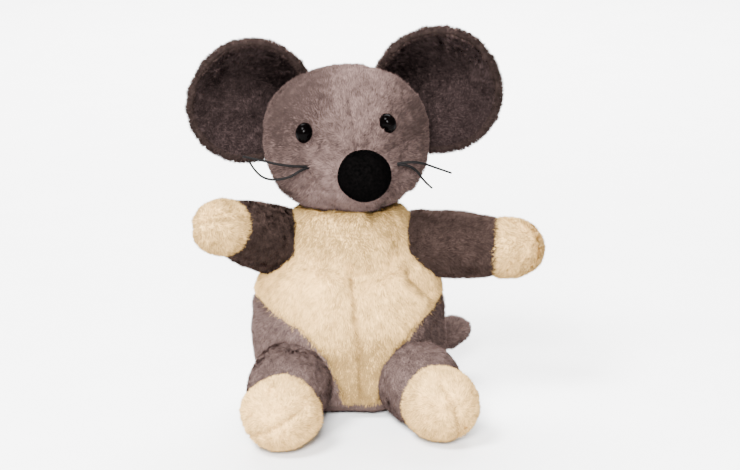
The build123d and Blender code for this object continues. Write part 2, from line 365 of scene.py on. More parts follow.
def fused(name, forms, voxel, smoothing):
    """One closed surface around several closed forms."""
    verts, faces, offset = [], [], 0
    for points, polygons in forms:
        verts.extend(points)
        faces.extend(tuple(index + offset for index in polygon) for polygon in polygons)
        offset += len(points)
    made = new_object(name, verts, faces)
    remesh = made.modifiers.new("fuse", "REMESH")
    remesh.mode = "VOXEL"
    remesh.voxel_size = voxel * MM
    settled(made)
    soften = made.modifiers.new("soften", "SMOOTH")
    soften.factor = 0.5
    soften.iterations = smoothing
    return settled(made)


def puffed(made, held, cap, pressure=4.0):
    """Lets pressure fill the cloth while its seams are held, by cloth simulation."""
    start = points_of(made.data)
    weights = held(start)
    group = made.vertex_groups.new(name="held")
    for index in np.nonzero(weights > 0.02)[0]:
        group.add([int(index)], float(weights[index]), "REPLACE")
    cloth = made.modifiers.new("puff", "CLOTH")
    settings = cloth.settings
    settings.quality = 6
    settings.mass = 0.2
    settings.tension_stiffness = settings.compression_stiffness = 18
    settings.shear_stiffness = 8
    settings.bending_stiffness = 0.6
    settings.use_pressure = True
    settings.uniform_pressure_force = pressure
    settings.effector_weights.gravity = 0
    settings.vertex_group_mass = "held"
    cloth.point_cache.frame_start = 1
    cloth.point_cache.frame_end = 20
    scene = bpy.context.scene
    for number in range(1, 21):
        scene.frame_set(number)
        bpy.context.view_layer.update()
    graph = bpy.context.evaluated_depsgraph_get()
    after = points_of(made.evaluated_get(graph).data)
    move = after - start
    length = np.linalg.norm(move, axis=1, keepdims=True)
    move *= np.minimum(1.0, cap / np.maximum(length, 1e-9))
    made.modifiers.clear()
    made.vertex_groups.clear()
    set_points(made.data, start + move)
    scene.frame_set(1)
    return made


def refined(made, levels):
    divide = made.modifiers.new("divide", "SUBSURF")
    divide.levels = divide.render_levels = levels
    return settled(made)


def moved_along_normals(made, amount):
    """Moves each point along its normal by this many millimetres, given per point."""
    points = points_of(made.data)
    set_points(made.data, points + normals_of(made.data) * amount[:, None])
    return made


def thickened(made, offset=-1.0):
    """Gives a lining its thickness."""
    thick = made.modifiers.new("thick", "SOLIDIFY")
    thick.thickness = LINING_THICK * MM
    thick.offset = offset
    return settled(made)


def polygons_of(made):
    return [tuple(polygon.vertices) for polygon in made.data.polygons]


def cut_panels(made, region, names):
    """Splits the faces by region, and gives (points, normals, faces) for each named region."""
    mesh = made.data
    points, normals = points_of(mesh), normals_of(mesh)
    faces = polygons_of(made)
    panels = {}
    for index, name in enumerate(names):
        chosen = [faces[i] for i in np.nonzero(region == index)[0]]
        used = np.unique(np.array([v for face in chosen for v in face], dtype=int))
        renumber = np.full(len(points), -1)
        renumber[used] = np.arange(len(used))
        kept = [tuple(int(renumber[v]) for v in face) for face in chosen]
        panels[name] = (points[used], normals[used], kept)
    bpy.data.objects.remove(made)
    return panels


# Pile


def scatter(points, normals, faces, per_mm2, rng):
    """Random places on a surface: their points and normals."""
    triangles = []
    for face in faces:
        for k in range(1, len(face) - 1):
            triangles.append((face[0], face[k], face[k + 1]))
    triangles = np.array(triangles)
    a, b, c = (points[triangles[:, k]] for k in range(3))
    area = np.linalg.norm(np.cross(b - a, c - a), axis=1) / 2
    total = int(area.sum() * per_mm2)
    chosen = rng.choice(len(triangles), size=total, p=area / area.sum())
    u, v = rng.random(total), rng.random(total)
    flip = u + v > 1
    u[flip], v[flip] = 1 - u[flip], 1 - v[flip]
    w = 1 - u - v
    corners = triangles[chosen]
    place = sum(points[corners[:, k]] * part[:, None] for k, part in enumerate((w, u, v)))
    normal = sum(normals[corners[:, k]] * part[:, None] for k, part in enumerate((w, u, v)))
    return place, unit(normal)


def pile(name, panel, look, comb, materials, seed, darker=None):
    """Short tufts standing on a panel, each a slim leaf folded along its middle.

    A look in LOOKS holds per_mm2, length, width, lean (degrees from the normal), stray, clump and curl.
    """
    look = LOOKS[look]
    rng = np.random.default_rng(seed)
    root, normal = scatter(*panel, look["per_mm2"] * QUICK_SHARE, rng)
    count = len(root)
    drift = noise_vectors(root, look["clump"] * 4, seed) * look["stray"]
    drift += noise_vectors(root, look["clump"], seed + 3) * look["stray"]
    ahead = unit(comb(root)) + drift + rng.normal(0, 0.16, (count, 3))
    ahead -= normal * np.sum(ahead * normal, axis=1, keepdims=True)
    ahead = unit(ahead)
    side = np.cross(normal, ahead)
    patch = noise(root, look["clump"] * 1.6, seed + 7)
    length = look["length"] * (1 + 0.3 * patch + rng.normal(0, 0.15, count))
    lean = np.radians(np.clip(look["lean"] + 14 * patch + rng.normal(0, 8, count), 5, 86))
    heading = normal * np.cos(lean)[:, None] + ahead * np.sin(lean)[:, None]
    above = np.cross(side, heading)
    above *= np.sign(np.sum(above * normal, axis=1, keepdims=True))
    half = (look["width"] * (1 + rng.normal(0, 0.18, count)) / 2)[:, None]
    foot = root - normal * 0.4
    verts = np.empty((count, 4, 3))
    verts[:, 0] = foot - side * half
    verts[:, 1] = foot + side * half
    verts[:, 2] = foot + heading * length[:, None] * 0.3 + above * half * 0.8
    verts[:, 3] = foot + heading * length[:, None]
    verts[:, :, 2] = np.maximum(verts[:, :, 2], FLOOR_GAP)
    curl = normal + look["curl"] * noise_vectors(root, look["clump"], seed + 5)
    shading = np.empty((count, 4, 3))
    shading[:, 0] = curl - side * 0.45
    shading[:, 1] = curl + side * 0.45
    shading[:, 2] = curl * 0.8 + above * 0.4
    shading[:, 3] = curl * 0.8 + above * 0.3

    faces = np.array([(0, 3, 2), (2, 3, 1)])
    loops = (np.arange(count)[:, None, None] * 4 + faces[None]).reshape(-1)
    mesh = bpy.data.meshes.new(name)
    mesh.vertices.add(count * 4)
    mesh.vertices.foreach_set("co", (verts.reshape(-1) * MM))
    mesh.loops.add(len(loops))
    mesh.loops.foreach_set("vertex_index", loops)
    mesh.polygons.add(count * 2)
    mesh.polygons.foreach_set("loop_start", np.arange(count * 2) * 3)
    tones = len(materials)
    level = 0.5 + 0.16 * noise(root, look["clump"] * 2.4, seed + 21) + rng.normal(0, 0.18, count)
    level += 0.16 * noise(root, look["clump"] * 0.8, seed + 22)
    # darker lowers the tone where shade is painted into the pile, and raises it where light is painted.
    if darker is not None:
        level -= darker(root)
    tone = np.clip((level * tones).astype(int), 0, tones - 1)
    mesh.polygons.foreach_set("material_index", np.repeat(tone, 2))
    mesh.polygons.foreach_set("use_smooth", np.ones(count * 2, bool))
    for material in materials:
        mesh.materials.append(material)
    mesh.update(calc_edges=True)
    mesh.normals_split_custom_set_from_vertices(unit(shading).reshape(-1, 3))
    made = bpy.data.objects.new(name, mesh)
    bpy.context.scene.collection.objects.link(made)
    return made


# Seams and panels


def line_distance(across, up, corners):
    """How far each (across, up) place is from an open line through the corners."""
    nearest = np.full(len(across), 1e9)
    for (x0, z0), (x1, z1) in zip(corners[:-1], corners[1:], strict=True):
        run, rise = x1 - x0, z1 - z0
        t = np.clip(((across - x0) * run + (up - z0) * rise) / (run**2 + rise**2), 0, 1)
        nearest = np.minimum(nearest, np.hypot(across - x0 - t * run, up - z0 - t * rise))
    return nearest


def seam_side(up, corners):
    """Where a seam lies across, at each height."""
    heights = [corner[1] for corner in corners]
    places = [corner[0] for corner in corners]
    return np.interp(up, heights, places)


# Plush colours, as linear values
TAUPE = (0.058, 0.0385, 0.0345)
MID_TAUPE = (0.064, 0.0430, 0.0385)
DARK_TAUPE = (0.0205, 0.0133, 0.0112)
EAR_TAUPE = (0.0096, 0.0065, 0.0062)
RIM_TAUPE = (0.0130, 0.0087, 0.0077)
CREAM = (0.60, 0.375, 0.140)
TONES = (0.36, 0.68, 1.0, 1.34, 1.75)
HEAD_TONES = (0.38, 0.68, 1.0, 1.34, 1.75)
# The darkest ear tone lets painted shade in the ear's fold go nearly black.
EAR_TONES = (0.12, 0.5, 0.95, 1.55, 2.3)
CREAM_TONES = (0.38, 0.60, 0.84, 1.06, 1.24)

CLOTHS = {
    "taupe_plush": cloth_material("taupe_cloth", TAUPE),
    "dark_taupe_plush": cloth_material("dark_taupe_cloth", DARK_TAUPE),
    "cream_plush": cloth_material("cream_cloth", CREAM),
    "mid": cloth_material("mid_cloth", MID_TAUPE),
    "ear": cloth_material("ear_cloth", EAR_TAUPE),
    "rim": cloth_material("rim_cloth", RIM_TAUPE),
}
TUFTS = {
    "taupe_plush": tuft_materials("taupe_tuft", TAUPE, HEAD_TONES),
    "dark_taupe_plush": tuft_materials("dark_taupe_tuft", DARK_TAUPE, TONES),
    "cream_plush": tuft_materials("cream_tuft", CREAM, CREAM_TONES),
    "mid": tuft_materials("mid_tuft", MID_TAUPE, TONES),
    "ear": tuft_materials("ear_tuft", EAR_TAUPE, EAR_TONES),
    "rim": tuft_materials("rim_tuft", RIM_TAUPE, TONES),
}
COTTON = woven_material("lining_cotton", (0.075, 0.060, 0.052))
HEM = woven_material("hem_tape", (0.030, 0.022, 0.019), thread=0.5)
FIBRE = speckled_material("fibre_fill", (0.7, 0.7, 0.68), (0.85, 0.85, 0.83), 3.0, (0.85, 1.0), 0.8)
EYE = speckled_material(
    "eye_gloss", (0.0003, 0.0002, 0.0002), (0.0006, 0.0004, 0.0004), 4.0, (0.08, 0.14), 0.002,
    **{"Specular IOR Level": 0.015},
)
WASHER = speckled_material("washer_plastic", (0.7, 0.7, 0.66), (0.8, 0.8, 0.77), 6.0, (0.35, 0.5), 0.02)
FLOCK = speckled_material(
    "nose_flock", (0.0004, 0.0004, 0.0004), (0.0012, 0.001, 0.001), 1.6, (0.92, 1.0), 0.25,
    **{"Specular IOR Level": 0.0},
)
FLOCK_TUFTS = tuft_materials("flock_tuft", (0.0008, 0.0007, 0.0007), (0.5, 1.0, 2.0), sheen=(0.0, 0.001))
THREAD = speckled_material(
    "whisker_thread", (0.001, 0.001, 0.001), (0.003, 0.0025, 0.0025), 0.8, (0.5, 0.7), 0.05,
    **{"Specular IOR Level": 0.05},
)

LOOKS = {
    "head": dict(per_mm2=4.4, length=2.8, width=0.48, lean=42, stray=0.9, clump=2.0, curl=0.6),
    "ear": dict(per_mm2=4.6, length=2.6, width=0.5, lean=34, stray=0.9, clump=1.7, curl=0.9),
    "belly": dict(per_mm2=4.0, length=3.2, width=0.48, lean=60, stray=0.45, clump=2.4, curl=0.35),
    "end": dict(per_mm2=4.6, length=2.7, width=0.46, lean=44, stray=0.9, clump=1.8, curl=0.4),
    "body": dict(per_mm2=4.6, length=2.7, width=0.48, lean=42, stray=0.95, clump=1.8, curl=0.5),
    "thigh": dict(per_mm2=4.4, length=2.9, width=0.48, lean=63, stray=0.5, clump=2.2, curl=0.3),
    "under": dict(per_mm2=1.2, length=2.0, width=0.7, lean=80, stray=0.6, clump=3.0, curl=0.2),
    "flock": dict(per_mm2=9.0, length=0.8, width=0.3, lean=25, stray=1.0, clump=1.0, curl=0.2),
}
NODE_SLOTS = {entry["node"]: entry["material_slot"] for entry in frame["record"]["subparts"]}
QUICK_SHARE = 1.0


def seed_of(name):
    """A fixed number for each name."""
    return sum(ord(letter) * (place + 1) for place, letter in enumerate(name))


# The soft pieces of the head, whose meshes keep their world place instead of riding on a body
BENDING_NODES = (
    "face_left_panel", "face_right_panel", "chin_panel", "head_back_panel",
    "head_stuffing", "head_finger_pocket",
)


def placed(made, body, *nodes, replaced=True):
    """Rides the piece on its body, or keeps a soft piece of the head where it stands, in place of its CAD nodes.
    """
    if nodes[0] in BENDING_NODES:
        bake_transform(made)
    else:
        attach(made, body)
    if replaced:
        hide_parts(*nodes)
    return made


def dress(node_name, body, panel, look, comb, cloth=None, darker=None):
    """A panel's cloth, in place of its CAD node, and the pile that grows on it."""
    kind = cloth or NODE_SLOTS[node_name]
    skin = placed(new_object(node_name + "_cloth", panel[0], panel[2], [CLOTHS[kind]]), body, node_name)
    fur = pile(node_name + "_pile", panel, look, comb, TUFTS[kind], seed_of(node_name), darker)
    placed(fur, body, node_name, replaced=False)


def inner_piece(node_name, forms, cutters=(), voxel=4.5, lumps=0.8):
    """The lumpy filling of a body, in place of its CAD node."""
    made = fused(node_name + "_filling", forms, voxel, 2)
    for number, cutter in enumerate(cutters):
        tool = fused(f"{node_name}_cutter_{number}", [cutter], voxel * 0.7, 1)
        cut = made.modifiers.new("cut", "BOOLEAN")
        cut.operation = "DIFFERENCE"
        cut.object = tool
        cut.solver = "EXACT"
        settled(made)
        bpy.data.objects.remove(tool)
    if lumps:
        moved_along_normals(made, lumps * noise(points_of(made.data), 9.0, seed_of(node_name)))
    made.data.materials.clear()
    made.data.materials.append(FIBRE)
    made.data.polygons.foreach_set("use_smooth", [True] * len(made.data.polygons))
    placed(made, node_name.removesuffix("_stuffing"), node_name)


def revolved(name, centre, outward, profile, material, narrowed, tilt, sides=32):
    """A domed form whose profile lists (radius, height along outward), narrowed one way."""
    outward = unit(outward)
    side = unit(np.cross(outward, (0, 0, 1.0)))
    up = np.cross(side, outward)
    levels = [(centre + outward * height, radius, radius) for radius, height in profile]
    verts, faces = ring_loft(levels, (side, up), sides)
    narrow_way = side * math.cos(tilt) + up * math.sin(tilt)
    verts += np.outer((verts - centre) @ narrow_way * (narrowed - 1), narrow_way)
    made = new_object(name, verts, faces, [material])
    return refined(made, 2)


# Torso

BASE_TOP = 5.0
BASE_RISE = 6.0  # how much higher the base's seam lies between the legs
SIDE_SEAM_Y = 2.0
CREASE_Z = 97.0
CREASE = [(-32, 99), (-12, 96), (6, 95.5), (34, 98)]
BELLY_SEAM = [(8, 12), (7, 46), (4.2, 73), (0.5, 95)]
VEE_LEFT = [(-4, 12), (-6, 20), (-13, 40), (-28, 56), (-46, 65), (-60, 69.5)]
VEE_RIGHT = [(19, 12), (20, 20), (29, 44), (42, 59), (50, 65), (60, 69.5)]
# Ridges (above 0) and folds of the torso's front: height, line through (x, z), width
TORSO_FOLDS = (
    (-2.6, BELLY_SEAM, 2.0),
    (-1.4, BELLY_SEAM, 6.0),
    (-3.2, CREASE, 6.0),
    (3.0, [(-36, 83), (-8, 86)], 8),
    (-5.0, [(5, 90), (24, 90.5)], 5.0),
    (-4.2, [(10, 83), (14, 76)], 6.0),
    (4.6, [(27, 87), (41, 71)], 5.0),
    (-4.6, [(37, 88), (48, 74)], 3.6),
    (-2.2, [(-30, 93), (-46, 84)], 5.0),
    (-2.8, VEE_LEFT, 2.4),
    (-2.8, VEE_RIGHT, 2.4),
)
TORSO_PANELS = (
    "chest_panel", "belly_left_panel", "belly_right_panel", "hip_left_panel", "hip_right_panel",
    "back_left_panel", "back_right_panel", "base_panel",
)
torso_low, torso_high = low_high(*TORSO_PANELS)
TORSO_HALF = (torso_high - torso_low) / 2
TORSO_HEIGHT = torso_high[2] - torso_low[2]
TORSO_Y = (torso_high[1] + torso_low[1]) / 2
# Share of the height, the half width and the half depth, and the shift in half depths
TORSO_OUTLINE = np.array([
    (0.004, 0.66, 0.58, 0.04),
    (0.025, 0.80, 0.74, 0.04),
    (0.085, 0.93, 0.88, 0.03),
    (0.19, 1.01, 0.95, 0.01),
    (0.33, 1.03, 0.99, 0.0),
    (0.47, 1.02, 1.0, -0.01),
    (0.61, 0.99, 0.985, -0.03),
    (0.73, 0.93, 0.93, -0.04),
    (0.83, 0.83, 0.83, -0.06),
    (0.91, 0.735, 0.73, -0.08),
    (0.98, 0.66, 0.63, -0.10),
    (1.035, 0.60, 0.56, -0.12),
    (1.06, 0.54, 0.49, -0.12),
    (1.05, 0.45, 0.40, -0.12),
    (1.02, 0.33, 0.30, -0.12),
])
hem_low, hem_high = low_high("opening_hem")
HEM_BAND = 4.0
MOUTH_X, MOUTH_Z = (hem_high[0] + hem_low[0]) / 2, (hem_high[2] + hem_low[2]) / 2
MOUTH_HALF = ((hem_high[0] - hem_low[0]) / 2 - HEM_BAND, (hem_high[2] - hem_low[2]) / 2 - HEM_BAND)


def torso_rings(inset, sides=56):
    levels = []
    for up, half_width, half_depth, shift in TORSO_OUTLINE:
        centre = (0, TORSO_Y + shift * TORSO_HALF[1], torso_low[2] + max(up * TORSO_HEIGHT, inset))
        levels.append((centre, TORSO_HALF[0] * half_width - inset, TORSO_HALF[1] * half_depth - inset))
    return ring_loft(levels, FLAT_WAYS, sides)


def torso_back_y(x, z, inset):
    """How far back the torso reaches at each (x, z)."""
    up = (z - torso_low[2]) / TORSO_HEIGHT
    half_width, half_depth, shift = (
        np.interp(up, TORSO_OUTLINE[:12, 0], TORSO_OUTLINE[:12, column]) for column in (1, 2, 3)
    )
    across = np.clip(x / (half_width * TORSO_HALF[0] - inset), -0.98, 0.98)
    depth = (half_depth * TORSO_HALF[1] - inset) * np.sqrt(1 - across**2)
    return TORSO_Y + shift * TORSO_HALF[1] + depth


def in_mouth(points, grown=0.0):
    """True inside the hand opening's outline, or that outline made larger by this much."""
    x, y, z = points.T
    across = (x - MOUTH_X) / (MOUTH_HALF[0] + grown)
    up = (z - MOUTH_Z) / (MOUTH_HALF[1] + grown)
    return (y > SIDE_SEAM_Y) & (across**2 + up**2 < 1)


def torso_region(points):
    """Which torso panel each place belongs to."""
    x, y, z = points.T
    region = np.where(x < seam_side(z, BELLY_SEAM), 1, 2)
    region = np.where(z > CREASE_Z, 0, region)
    below_vee = z < VEE_LEFT[-1][1]
    region = np.where(below_vee & (x < seam_side(z, VEE_LEFT)), 3, region)
    region = np.where(below_vee & (x > seam_side(z, VEE_RIGHT)), 4, region)
    region = np.where(y > SIDE_SEAM_Y, np.where(x < 0, 5, 6), region)
    region = np.where(z < BASE_TOP + BASE_RISE * step(-y, 18, 32), 7, region)
    return np.where(in_mouth(points), -1, region)


def torso_relief(points):
    """How far the cloth stands out or in at each place on the torso."""
    x, y, z = points.T
    front = step(SIDE_SEAM_Y - y, 0, 8)
    back = 1 - front
    relief = np.zeros(len(points))
    for height, line, width in TORSO_FOLDS:
        relief += height * ridge(line_distance(x, z, line), width)
    wrinkled = ridge(line_distance(x, z, [(-18, 114), (10, 112)]), 5)
    relief -= 0.8 * ridge(np.sin(z * 1.5 + 0.1 * x), 0.6) * wrinkled
    relief *= front
    relief -= 1.4 * ridge(y - SIDE_SEAM_Y, 1.9) * step(z, 6, 14)
    relief -= 1.8 * back * ridge(x, 1.8) * step(z, 6, 12)
    relief += 1.6 * noise(points, 17.0, 5) + 0.6 * noise(points, 7.0, 6) + 0.25 * noise(points, 2.8, 7)
    return relief * step(z, 1.0, 6.0)


def held_torso(points):
    """Where stitching and the seat hold the torso's cloth."""
    x, y, z = points.T
    held = np.maximum(ridge(line_distance(x, z, BELLY_SEAM), 4), ridge(line_distance(x, z, CREASE), 4))
    held = np.maximum(held * (y < 0), ridge(y - SIDE_SEAM_Y, 4))
    return np.maximum(held, (z < 7) | (z > 106) | in_mouth(points, 6.0))


def downwards(points):
    """The torso's pile lies down and a little outwards."""
    away = np.zeros_like(points)
    away[:, 0] = points[:, 0] * 0.006
    away[:, 2] = -1.0
    return away


def painted_belly_shade(points):
    """Painted shade on the cream pile, low on the belly and under the chin, with a painted light patch on the
    belly's left.
    """
    x, z = points[:, 0], points[:, 2]
    lit = 0.28 * step(-x, -4, 24) * step(z, 40, 62) * step(-z, -98, -84)
    return 0.72 * step(-z, -66, -24) + 0.32 * step(z, 90, 116) - lit + 0.1


def painted_hip_shade(points):
    """Painted shade on the taupe pile of the right hip, and painted light on the left hip."""
    return 0.5 * step(points[:, 0], -10, 25) * step(SIDE_SEAM_Y - points[:, 1], 0, 10) - 0.15


def hand_pocket(grown):
    """The space that the hand fills, and its way out through the back."""
    low, high = low_high("hand_lining")
    half = (high[0] - low[0]) / 2
    upright = []
    for up, across, depth, back in (
        (0.0, 0.5, 0.2, 0.0), (0.06, 0.78, 0.36, 0.0), (0.33, 0.97, 0.5, 0.0), (0.6, 0.88, 0.48, -2.0),
        (0.78, 0.76, 0.42, -6.0), (0.9, 0.56, 0.4, -10.0), (1.0, 0.38, 0.38, -14.0),
    ):
        middle = (0, 8 + back, low[2] + up * (high[2] - low[2]) + (grown if up else -grown))
        upright.append((middle, half * across + grown - 1.2, half * depth + grown - 1.2))
    outward = []
    for y, shrink in ((4, 8), (14, 2), (30, 0.5), (70, 0.5)):
        half_x, half_z = MOUTH_HALF[0] - shrink + grown, MOUTH_HALF[1] - shrink + grown
        outward.append(((MOUTH_X, y, MOUTH_Z), half_x, half_z))
    return ring_loft(upright, FLAT_WAYS, 40), ring_loft(outward, BACK_WAYS, 40)


def make_lining():
    """The woven bag that lines the hand pocket, open at the back."""
    bag = fused("bag", hand_pocket(0.0), 2.6, 4)
    points = points_of(bag.data)
    creases = 1.1 * noise(points * (1, 1, 0.35), 8.0, 71) + 0.5 * noise(points, 4.0, 72)
    moved_along_normals(bag, creases - 1.0)
    points = points_of(bag.data)
    limit = torso_back_y(points[:, 0], points[:, 2], PILE_ROOM) - 0.3
    region = np.array([0 if all(points[v, 1] < limit[v] for v in face) else 1 for face in polygons_of(bag)])
    kept, _, faces = cut_panels(bag, region, ("kept",))["kept"]
    made = thickened(new_object("hand_lining_bag", kept, faces, [COTTON]), offset=1.0)
    placed(made, "torso", "hand_lining")


def make_hem():
    """The folded tape round the hand opening, and its row of stitches."""
    turns = np.linspace(0, 2 * np.pi, 120, endpoint=False)
    section = (
        (-2.4, -0.8), (-2.6, 0.2), (-2.2, 1.1), (-1.2, 1.6), (0, 1.75),
        (1.2, 1.6), (2.2, 1.1), (2.6, 0.2), (2.4, -0.8),
    )
    verts, faces, middles = [], [], []
    for turn in turns:
        x = MOUTH_X + (MOUTH_HALF[0] + 1.6) * math.cos(turn)
        z = MOUTH_Z + (MOUTH_HALF[1] + 1.6) * math.sin(turn)
        y = float(torso_back_y(np.array(x), np.array(z), PILE_ROOM))
        middles.append((x, y, z))
    middles = np.array(middles)
    ahead = unit(np.roll(middles, -1, axis=0) - np.roll(middles, 1, axis=0))
    spokes = np.stack([np.cos(turns), np.zeros_like(turns), np.sin(turns)], axis=1)
    lift = unit(np.cross(ahead, spokes))
    lift *= np.sign(lift[:, 1:2])
    outward = np.cross(lift, ahead)
    outward *= np.sign(np.sum(outward * spokes, axis=1))[:, None]
    size = len(section)
    for k in range(len(turns)):
        wave = 1 + 0.05 * math.sin(k * 2.1)
        for across, height in section:
            verts.append(middles[k] + outward[k] * across * wave + lift[k] * (height + 0.2))
    for k in range(len(turns)):
        after = (k + 1) % len(turns)
        for side in range(size):
            beside = (side + 1) % size
            faces.append((k * size + side, k * size + beside, after * size + beside, after * size + side))
    hem = refined(new_object("opening_hem_tape", verts, faces, [HEM]), 1)
    placed(hem, "torso", "opening_hem")
    dash = [(0, 0.0), (0.18, 0.28), (0.5, 0.32), (0.82, 0.28), (1, 0.0)]
    verts, faces = [], []
    for k in range(0, len(turns), 2):
        start = middles[k] + lift[k] * 1.9 + outward[k] * 0.9
        reach = ahead[k] * 2.0
        ring, polygons = ring_loft(
            [(start + reach * at, radius + 0.02, radius + 0.02) for at, radius in dash],
            (lift[k], np.cross(ahead[k], lift[k])),
            8,
        )
        faces.extend(tuple(v + len(verts) for v in polygon) for polygon in polygons)
        verts.extend(ring)
    stitches = new_object("opening_hem_stitches", verts, faces, [THREAD])
    placed(stitches, "torso", "opening_hem", replaced=False)


def make_torso():
    """The torso's closed form, sewn into eight panels, with its lining, hem and stuffing."""
    body = fused("torso_form", [torso_rings(PILE_ROOM)], 4.0, 2)
    puffed(body, held_torso, 4.0)
    refined(body, 2)
    moved_along_normals(body, torso_relief(points_of(body.data)))
    panels = cut_panels(body, torso_region(face_middles(body.data)), TORSO_PANELS)
    for name in TORSO_PANELS:
        cream = NODE_SLOTS[name] == "cream_plush"
        look = "under" if name == "base_panel" else "belly" if cream else "body"
        shaded = painted_belly_shade if cream else painted_hip_shade
        dress(name, "torso", panels[name], look, downwards, cloth=None if cream else "mid", darker=shaded)
    inner_piece("torso_stuffing", [torso_rings(PILE_ROOM + 11.0)], hand_pocket(3.0), lumps=1.0)
    make_lining()
    make_hem()
    low, high = low_high("neck_tube")
    middle_y, radius = (low[1] + high[1]) / 2, (high[0] - low[0]) / 2
    tube = []
    for part, size in ((0, 0.97), (0.3, 1.0), (0.7, 0.98), (1, 1.0)):
        across = radius * size - 0.6
        tube.append(((0, middle_y, low[2] + part * (high[2] - low[2])), across, across))
    verts, faces = ring_loft(tube, FLAT_WAYS, 48)
    made = new_object("neck_tube_cloth", verts, faces[:-2], [COTTON])
    moved_along_normals(made, 0.5 * noise(points_of(made.data), 5.0, 73))
    placed(refined(thickened(made), 1), "neck", "neck_tube")


# Head

HEAD_PANELS = ("face_left_panel", "face_right_panel", "chin_panel", "head_back_panel")
head_low, head_high = low_high(*HEAD_PANELS)
HEAD_WIDTH = (head_high[0] - head_low[0]) / 2
HEAD_RADII = np.array([HEAD_WIDTH, HEAD_WIDTH * 0.94, (head_high[2] - head_low[2]) / 2])
HEAD_CENTRE = np.array(
    [(head_low[0] + head_high[0]) / 2, head_high[1] - HEAD_RADII[1], (head_low[2] + head_high[2]) / 2]
)
nose_low, nose_high = low_high("nose")
NOSE_R = (nose_high[0] - nose_low[0]) / 2
NOSE = np.array([(nose_low[0] + nose_high[0]) / 2, nose_low[1] + NOSE_R, (nose_low[2] + nose_high[2]) / 2])
MUZZLE_RADII = np.array([29.0, 29.0, 23.5])
MUZZLE = np.array([4.5, head_low[1] + 30.0, HEAD_CENTRE[2] - 12.0])
YAW = math.radians(8)
RIGHTWARDS = np.array([math.cos(YAW), math.sin(YAW), 0.087])
BACKWARDS = np.array([-math.sin(YAW), math.cos(YAW), 0.0])
CHEEK_CREASES = (
    [(-25, 158), (-23.5, 150), (-21.5, 141), (-15, 133), (-8, 128)],
    [(31, 168), (32, 158), (31, 149), (27, 138), (19, 130)],
)


def eye_seat(name):
    """Where an eye meets the face, and the way that it looks."""
    low, high = low_high(name)
    across = (low[0] + high[0]) / 2
    seat = np.array([across, low[1] + 3.2, (low[2] + high[2]) / 2])
    return seat, unit(seat - HEAD_CENTRE)


def chin_line(points):
    """How far each place is above the seam between the face and the chin."""
    return points[:, 2] - (HEAD_CENTRE[2] - 20.5 - 0.3 * (points[:, 1] + 50))


def head_region(points):
    away = points - HEAD_CENTRE
    region = np.where(away @ RIGHTWARDS < 0, 0, 1)
    region = np.where(chin_line(points) < 0, 2, region)
    return np.where(away @ BACKWARDS > 0, 3, region)


def head_relief(points):
    """Seams, cheeks and folds of the face."""
    away = points - HEAD_CENTRE
    face = step(-(away @ BACKWARDS), 0, 8)
    across = away @ RIGHTWARDS
    upper = face * step(points[:, 2], 152, 162)
    relief = -1.1 * upper * ridge(across, 1.5)
    relief -= 1.2 * ridge(away @ BACKWARDS, 1.6)
    relief -= 1.0 * face * ridge(chin_line(points), 1.5) * step(np.abs(across), 8, 18)
    for crease in CHEEK_CREASES:
        apart = line_distance(points[:, 0], points[:, 2], crease)
        relief -= face * (2.2 * ridge(apart, 5.0) + 1.2 * ridge(apart, 1.8))
    relief -= 1.6 * ridge(np.linalg.norm(points - NOSE, axis=1) - NOSE_R - 1.0, 3.0)
    for name in ("left_eye", "right_eye"):
        relief -= 1.8 * ridge(np.linalg.norm(points - eye_seat(name)[0], axis=1), 7.0)
    relief += 1.2 * noise(points, 19.0, 31) + 0.6 * noise(points, 6.5, 32) + 0.35 * noise(points, 2.8, 33)
    return relief


def away_from_nose(points):
    return points - NOSE


def painted_face_shade(points):
    """Painted shade on the pile at both sides of a lit band from the forehead to the muzzle, and over the brow."""
    band = np.interp(points[:, 2], (140, 168, 205), (-6, 3, 10))
    x, z = points[:, 0], points[:, 2]
    brow = 0.24 * step(z, 156, 176) + 0.24 * step(-x, 4, 26) * step(z, 160, 180)
    return 0.42 * step(np.abs(x - band), 9, 34) + brow - 0.26


def thread_curve(name, node_name, runs, root_radius):
    """Thin tapered threads through these shares of the CAD node's box."""
    low, high = low_high(node_name)
    curve = bpy.data.curves.new(name, "CURVE")
    curve.dimensions = "3D"
    curve.bevel_depth = root_radius * MM
    curve.bevel_resolution = 3
    curve.use_fill_caps = True
    for run in runs:
        spline = curve.splines.new("NURBS")
        spline.points.add(len(run) - 1)
        for place, share in enumerate(run):
            point = low + (high - low) * np.array(share)
            spline.points[place].co = (*(point * MM), 1.0)
            spline.points[place].radius = 1.0 - 0.3 * place / (len(run) - 1)
        spline.use_endpoint_u = True
        spline.order_u = 3
        spline.resolution_u = 12
    curve.materials.append(THREAD)
    made = bpy.data.objects.new(name, curve)
    bpy.context.scene.collection.objects.link(made)
    return placed(made, "head", node_name)


